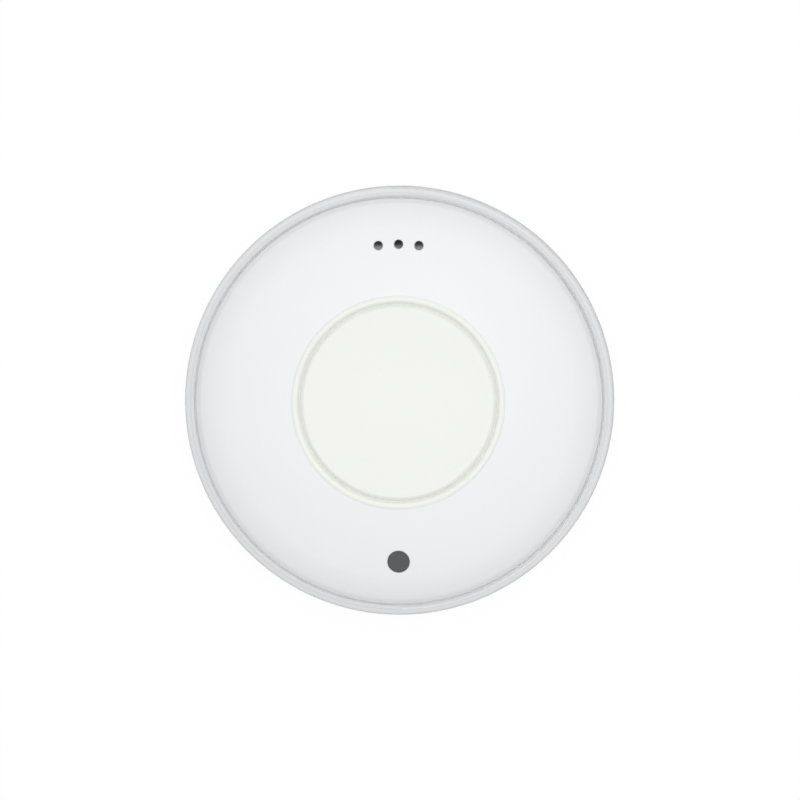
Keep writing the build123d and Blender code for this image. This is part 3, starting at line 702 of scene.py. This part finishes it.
def slot_form(name, section, straight, middle, dip=None, round_steps=32, straight_steps=22):
    """A closed piece with a slot's plan, from an outline of distance from its spine and height."""
    ways = []
    for side in (1, -1):
        for step in range(round_steps + 1):
            angle = pi * (step / round_steps - side / 2)
            ways.append((side * straight, cos(angle), sin(angle)))
        for step in range(1, straight_steps):
            ways.append((side * straight * (1 - 2 * step / straight_steps), 0.0, side))
    points = []
    for distance, height in section:
        for spine, way_x, way_y in ways:
            x = spine + distance * way_x
            y = middle + distance * way_y
            drop = dip(x, y, height) if dip else 0.0
            points.append((x * mm, y * mm, (height - drop) * mm))
    rings = [range(first, first + len(ways)) for first in range(0, len(points), len(ways))]
    pairs = list(zip(rings, rings[1:]))
    if section[0][0]:
        pairs.append((rings[-1], rings[0]))
    faces = []
    for near, far in pairs:
        for step in range(len(ways)):
            faces.append((near[step], near[step - 1], far[step - 1], far[step]))
    mesh = bpy.data.meshes.new(name)
    mesh.from_pydata(points, [], faces)
    form = bmesh.new()
    form.from_mesh(mesh)
    bmesh.ops.remove_doubles(form, verts=form.verts, dist=same_place)
    form.to_mesh(mesh)
    form.free()
    return mesh_piece(name, mesh)


sheet_low, sheet_high = box_in_mm("vent_membrane")
sheet_top = sheet_high[2]
sheet_round = (sheet_high[1] - sheet_low[1]) / 2
sheet_middle = (sheet_high[1] + sheet_low[1]) / 2
sheet_ease = 0.04
sheet_steps = 12
sheet_sag = 0.05
sag_reach = 0.6
vent_circle = 12.11
vent_turn = 7.4


def sheet_dip(x, y, height):
    """How far the sheet's top dips at a place, under each of the three holes."""
    if height < sheet_top:
        return 0.0
    dip = 0.0
    for turn in (-vent_turn, 0, vent_turn):
        away_x = x - vent_circle * sin(radians(turn))
        away_y = y - vent_circle * cos(radians(turn))
        share = (away_x ** 2 + away_y ** 2) / sag_reach ** 2
        dip = max(dip, sheet_sag * max(0.0, 1 - share) ** 2)
    return dip


sheet_section = [(sheet_round * step / sheet_steps, sheet_top) for step in range(sheet_steps)]
sheet_section += [
    (sheet_round - sheet_ease, sheet_top),
    (sheet_round, sheet_top - sheet_ease),
    (sheet_round, sheet_low[2] + sheet_ease),
    (sheet_round - sheet_ease, sheet_low[2]),
    (sheet_round / 2, sheet_low[2]),
    (0, sheet_low[2]),
]
sheet_straight = sheet_high[0] - sheet_round
vent_sheet = slot_form("vent_sheet", sheet_section, sheet_straight, sheet_middle, sheet_dip)
membrane_dark, membrane, membrane_shader = start_material("membrane_dark")
membrane_skin = use(membrane, moulded_skin, Grain_per_mm=6.0)
# Painted shade and painted light: the sheet runs from dark on its outer side to pale towards the
# button.
membrane_shade_from = 12.15
membrane_light_from = 11.55
membrane_across = put(membrane, "ShaderNodeSeparateXYZ", {0: place_in_mm(membrane)}).outputs[1]
membrane_painted_light = ramp(membrane, membrane_across, membrane_shade_from, membrane_light_from)
membrane_paint = mix_colours(membrane, membrane_painted_light, (0.05, 0.051, 0.052), (0.7, 0.71, 0.72))
membrane_tone = total(membrane, (membrane_skin["Grain"], 0.2), (membrane_skin["Flow"], 0.2))
membrane_rough = total(membrane, (1.0, 0.85), (membrane_skin["Rub"], 0.1))
colour_and_gloss(membrane, membrane_shader, membrane_paint, membrane_tone, membrane_rough)
bump(membrane, membrane_shader, membrane_skin["Grain"], step_mm=0.02)
dress(vent_sheet, membrane_dark, "base", "vent_membrane")
foam_low, foam_high = box_in_mm("sensor_gasket")
foam_wall = 0.7
foam_edge_round = 0.12
foam_round = (foam_high[1] - foam_low[1]) / 2
foam_middle = (foam_high[1] + foam_low[1]) / 2
foam_section = round_outline(
    foam_round - foam_wall, foam_round, foam_low[2], foam_high[2], foam_edge_round
)
sensor_foam = slot_form("sensor_foam", foam_section, foam_high[0] - foam_round, foam_middle)
gasket_foam = moulding(
    "gasket_foam", (0.04, 0.04, 0.043), 0.9, grain_per_mm=5.0, grain_mm=0.05, tone=0.4
)
dress(sensor_foam, gasket_foam, "base", "sensor_gasket")

# Button. One soft moulding in ivory silicone: a flat pad, a thin skin in the
# groove that flexes when the pad goes down, and a bead held under the cover.
pad_low, pad_high = box_in_mm("button_cap")
bead_low, bead_high = box_in_mm("button_bezel")
pad_top = pad_high[2]
bead_top = bead_high[2]
pad_rings = (2.4, 4.8, 6.6)
pad_flat_radius = 7.2
valley_radius = 7.575
bead_radius = 7.93
bead_edge_radius = 8.19
valley_height = bead_top - 0.26
bead_edge_height = bead_top - 0.09
skin_join_radius = 7.5
bead_join_radius = 7.745
skin_thickness = 0.14


def flank(top, foot, steps=20):
    """Points from a level top to a foot, ever steeper, as radius and height."""
    points = []
    for step in range(steps + 1):
        part = step / steps
        fall = 1 - cos(pi / 2 * part)
        points.append((top[0] + (foot[0] - top[0]) * part, top[1] + (foot[1] - top[1]) * fall))
    return points


pad_flank = flank((pad_flat_radius, pad_top), (valley_radius, valley_height))
bead_flank = flank((bead_radius, bead_top), (valley_radius, valley_height))
bead_back = flank((bead_radius, bead_top), (bead_edge_radius, bead_edge_height))
groove_line = pad_flank + bead_flank[-2:0:-1] + bead_back


def groove_height(radius):
    """The height of the soft surface at a radius in the groove."""
    for near, far in zip(groove_line, groove_line[1:]):
        if near[0] <= radius <= far[0]:
            part = (radius - near[0]) / (far[0] - near[0])
            return near[1] + (far[1] - near[1]) * part


def groove_stretch(start, end):
    """The soft surface from one radius to another."""
    between = [point for point in groove_line if start < point[0] < end]
    return [(start, groove_height(start)), *between, (end, groove_height(end))]


def join_form(piece, form):
    """Joins another closed form into a piece, as one moulding."""
    mesh = bpy.data.meshes.new("joined_form")
    form.to_mesh(mesh)
    form.free()
    other = bpy.data.objects.new("joined_form", mesh)
    bpy.context.scene.collection.objects.link(other)
    union = piece.modifiers.new("union", "BOOLEAN")
    union.operation = "UNION"
    union.solver = "EXACT"
    union.object = other
    graph = bpy.context.evaluated_depsgraph_get()
    whole = bpy.data.meshes.new_from_object(piece.evaluated_get(graph))
    piece.modifiers.remove(union)
    piece.data = whole
    bpy.data.objects.remove(other)
    soften(whole)


pad_thickness = 1.0
skirt_depth = 1.9
pad_roof = pad_top - pad_thickness
pad_foot = pad_top - skirt_depth
pad_edge_ease = 0.08
skirt_radius = 7.4
pad_inner_radius = 6.45
post_radius = 1.4
join_height = groove_height(skin_join_radius)
pad_outline = [(0, pad_top)]
pad_outline += [(radius, pad_top) for radius in pad_rings]
pad_outline += groove_stretch(pad_flat_radius, skin_join_radius)
pad_outline += [
    (skin_join_radius, join_height - skin_thickness),
    (skirt_radius, join_height - 2 * skin_thickness),
    (skirt_radius, pad_foot + pad_edge_ease),
    (skirt_radius - pad_edge_ease, pad_foot),
    (pad_inner_radius + pad_edge_ease, pad_foot),
    (pad_inner_radius, pad_foot + pad_edge_ease),
    (pad_inner_radius, pad_roof),
    (post_radius, pad_roof),
    (post_radius, pad_low[2] + pad_edge_ease),
    (post_radius - pad_edge_ease, pad_low[2]),
    (0, pad_low[2]),
]
button_wear = [
    ("At radius", 0.0, 6.0, 0.2),  # where a finger presses
    ("At radius", bead_radius, 0.15, 0.5),  # the bead's crown
]
# Painted shade: the groove is darkened where its shade falls.
button_painted_shade = [("At radius", 7.6, 0.22, 0.17)]  # in the groove
button_ivory = moulding(
    "button_ivory",
    (0.893, 0.903, 0.858),
    0.78,
    grain_per_mm=7.0,
    grain_mm=0.003,
    tone=0.015,
    wear=button_wear,
    dust_and_shade=button_painted_shade,
)
button_pad = spin("button_pad", pad_outline)
rib_overlap = 0.05
rib_reach = pad_inner_radius + 0.2
rib_width = 0.7
rib_depth = 0.8
pad_ribs = bmesh.new()
for half_length, half_width in ((rib_reach, rib_width / 2), (rib_width / 2, rib_reach)):
    rib = bmesh.ops.create_cube(pad_ribs, size=2 * mm)["verts"]
    bmesh.ops.scale(pad_ribs, verts=rib, vec=(half_length, half_width, rib_depth / 2))
    rib_height = pad_roof - rib_depth / 2 + rib_overlap
    bmesh.ops.translate(pad_ribs, verts=rib, vec=(0, 0, rib_height * mm))
join_form(button_pad, pad_ribs)
dress(button_pad, button_ivory, "button", "button_cap")

skin_top = groove_stretch(skin_join_radius, bead_join_radius)
skin_under = [(radius, height - skin_thickness) for radius, height in skin_top]
button_skin = spin("button_skin", skin_top + skin_under[::-1])
dress(button_skin, button_ivory, None, "button_web")
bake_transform(button_skin)

bead_body_radius = 8.5
bead_flange = 0.45
bead_lip_drop = 0.12
bead_lip_height = 0.35
bead_seat = bead_low[2] + bead_flange
bead_lip = bead_top - bead_lip_drop - bead_lip_height
bead_ease = 0.05
bead_outline = groove_stretch(bead_join_radius, bead_edge_radius) + [
    (bead_edge_radius, bead_lip),
    (bead_body_radius, bead_lip),
    (bead_body_radius, bead_seat),
    (bead_high[0] - bead_ease, bead_seat),
    (bead_high[0], bead_seat - bead_ease),
    (bead_high[0], bead_low[2] + bead_ease),
    (bead_high[0] - bead_ease, bead_low[2]),
    (bead_join_radius + bead_ease, bead_low[2]),
    (bead_join_radius, bead_low[2] + bead_ease),
]
button_bead = spin("button_bead", bead_outline)
dress(button_bead, button_ivory, "base", "button_bezel")

# Battery cover. The white twist-off disc in the back, moulded like the housing,
# with a coin slot, a lock mark and three bayonet lugs, sealed by a rubber ring.
door_wear = [
    ("At radius", 12.65, 0.15, 1.0),  # the edge
    ("At height", 0.0, 0.06, 0.4),  # the outer face
]
door_dust = [("At radius", 12.78, 0.12, 0.2)]  # in the gap round it
door_white = moulding(
    "door_white", housing_colour, housing_roughness, wear=door_wear, dust_and_shade=door_dust
)
finish_nodes(door_white, "battery_cover")
ring_low, ring_high = box_in_mm("battery_cover_o_ring")
ring_section = (ring_high[2] - ring_low[2]) / 2
ring_radius = ring_high[0] - ring_section
ring_height = (ring_low[2] + ring_high[2]) / 2
ring_steps = 20
ring_outline = []
for step in range(ring_steps):
    angle = 2 * pi * step / ring_steps
    radius = ring_radius + ring_section * cos(angle)
    ring_outline.append((radius, ring_height + ring_section * sin(angle)))
door_ring = spin("door_ring", ring_outline)
o_ring_rubber = moulding(
    "o_ring_rubber", (0.02, 0.02, 0.021), 0.5, grain_per_mm=8.0, grain_mm=0.003, tone=0.2
)
dress(door_ring, o_ring_rubber, "battery_door", "battery_cover_o_ring")

# Floor. A wide pale sheet that shows white to the camera and keeps a faint shadow;
# it is clear from below and right under the part, so that the back can be seen.
floor_half = 20.0
floor_drop = 0.02 * mm
floor_shadow = 0.06
floor_brightness = 1.01
floor_paint = (0.9, 0.9, 0.9, 1)
white = (1, 1, 1, 1)
floor_corners = [
    (x * floor_half, y * floor_half, 0) for x, y in ((-1, -1), (1, -1), (1, 1), (-1, 1))
]
floor_mesh = bpy.data.meshes.new("floor")
floor_mesh.from_pydata(floor_corners, [], [(0, 1, 2, 3)])
floor = bpy.data.objects.new("floor", floor_mesh)
floor.location.z = -floor_drop
bpy.context.scene.collection.objects.link(floor)


def seen_directly(tree, paths):
    """1 for what the camera sees, itself or in metal and glass, from the light's paths."""
    seen = calculate(tree, "MAXIMUM", paths["Is Camera Ray"], paths["Is Glossy Ray"])
    return calculate(tree, "MAXIMUM", seen, paths["Is Transmission Ray"])


def mix_shaders(tree, share, shader, other):
    """One shader where a share is 0 and another where it is 1."""
    values = {0: share, 1: shader, 2: other}
    return put(tree, "ShaderNodeMixShader", values).outputs[0]


floor_white = bpy.data.materials.new("floor_white")
floor_white.use_nodes = True
floor_tree = floor_white.node_tree
floor_tree.nodes.clear()
floor_paths = put(floor_tree, "ShaderNodeLightPath").outputs
floor_seen = seen_directly(floor_tree, floor_paths)
floor_lit = put(floor_tree, "ShaderNodeBsdfDiffuse", {"Color": floor_paint}).outputs[0]
floor_glow = {"Color": white, "Strength": floor_brightness}
floor_bright = put(floor_tree, "ShaderNodeEmission", floor_glow).outputs[0]
floor_share = calculate(floor_tree, "MULTIPLY", floor_seen, 1 - floor_shadow)
floor_shown = mix_shaders(floor_tree, floor_share, floor_lit, floor_bright)
floor_under = put(floor_tree, "ShaderNodeNewGeometry").outputs["Backfacing"]
floor_close = calculate(floor_tree, "LESS_THAN", floor_paths["Ray Length"], mm)
floor_clear = calculate(floor_tree, "MAXIMUM", floor_under, floor_close)
floor_gap = put(floor_tree, "ShaderNodeBsdfTransparent").outputs[0]
floor_whole = mix_shaders(floor_tree, floor_clear, floor_shown, floor_gap)
put(floor_tree, "ShaderNodeOutputMaterial", {"Surface": floor_whole})
floor_mesh.materials.append(floor_white)

# Light. A large soft box close to the camera's line, a little towards the vents
# and the right, in an even pale room.
room_strength = 0.14
room = bpy.data.worlds.new("pale_room")
bpy.context.scene.world = room
room.use_nodes = True
room_tree = room.node_tree
room_tree.nodes.clear()
room_seen = seen_directly(room_tree, put(room_tree, "ShaderNodeLightPath").outputs)
room_dim, room_bright = [
    put(room_tree, "ShaderNodeBackground", {"Color": white, "Strength": strength}).outputs[0]
    for strength in (room_strength, 1.0)
]
room_shown = mix_shaders(room_tree, room_seen, room_dim, room_bright)
put(room_tree, "ShaderNodeOutputWorld", {"Surface": room_shown})


def leaning(across, along):
    """The direction of a lamp or camera above the part that leans by two angles in degrees."""
    return Vector((tan(radians(across)), tan(radians(along)), 1)).normalized()


def facing_back(direction):
    """The turn of a lamp or camera that looks against a direction, with +Y upwards."""
    back = direction.normalized()
    right = Vector((0, 1, 0)).cross(back).normalized()
    return Matrix((right, back.cross(right), back)).transposed().to_quaternion()


lamp_lean_x = 1.5
lamp_lean_y = 5.0
lamp_distance = 0.9
lamp_width = 0.6
lamp_watts = 7.35
lamp_data = bpy.data.lights.new("soft_box", "AREA")
lamp_data.shape = "DISK"
lamp_data.size = lamp_width
lamp_data.energy = lamp_watts
lamp = bpy.data.objects.new("soft_box", lamp_data)
lamp_direction = leaning(lamp_lean_x, lamp_lean_y)
lamp.location = lamp_direction * lamp_distance
lamp.rotation_mode = "QUATERNION"
lamp.rotation_quaternion = facing_back(lamp_direction)
bpy.context.scene.collection.objects.link(lamp)

# Camera. It looks almost straight down at the part from a metre away, leaning
# slightly towards the vents, as the photograph does.
camera_lean_x = 1.64
camera_lean_y = 2.85
camera_distance = 1.0
view_width = 61.58 * mm
aim = Vector((0.0, -0.035, 5.0)) * mm
camera_data = bpy.data.cameras.new("camera")
camera_data.sensor_width = 36.0
camera_data.lens = camera_data.sensor_width * camera_distance / view_width
camera_data.clip_start = 0.1
camera_data.clip_end = 100.0
camera = bpy.data.objects.new("camera", camera_data)
camera_direction = leaning(camera_lean_x, camera_lean_y)
camera.location = aim + camera_direction * camera_distance
camera.rotation_mode = "QUATERNION"
camera.rotation_quaternion = facing_back(camera_direction)
bpy.context.scene.collection.objects.link(camera)
bpy.context.scene.camera = camera
bpy.context.scene.view_settings.view_transform = "Standard"
